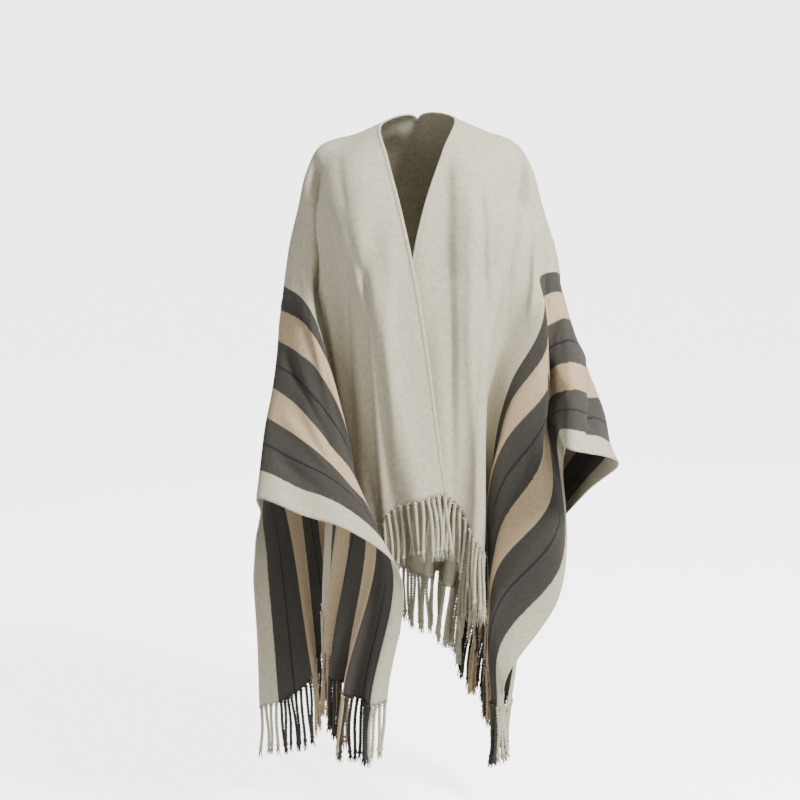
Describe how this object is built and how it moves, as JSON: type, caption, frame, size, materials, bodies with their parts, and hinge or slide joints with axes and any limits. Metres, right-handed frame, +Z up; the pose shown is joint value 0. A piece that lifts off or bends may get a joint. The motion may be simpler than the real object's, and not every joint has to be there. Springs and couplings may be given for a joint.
{
  "type": "fringed open-front cape",
  "caption": "Open-front woven cape worn over both arms, striped towards its side edges, with a knotted fringe along the front and back hems.",
  "frame": {"origin": "middle of the neck on the shoulder line, where the wearer's shoulders carry the cloth", "axes": "+Z up, -Y to the front of the garment, +X to the wearer's left"},
  "size_m": [0.6307, 0.4915, 1.2172],
  "materials": {
    "cloth": "soft brushed weave, matt",
    "fringe": "twisted yarn, matt"
  },
  "bodies": {
    "root": {"back": "cloth", "right_front": "cloth", "left_front": "cloth", "fringe_back": "fringe", "fringe_right_front": "fringe", "fringe_left_front": "fringe"}
  },
  "joints": []
}
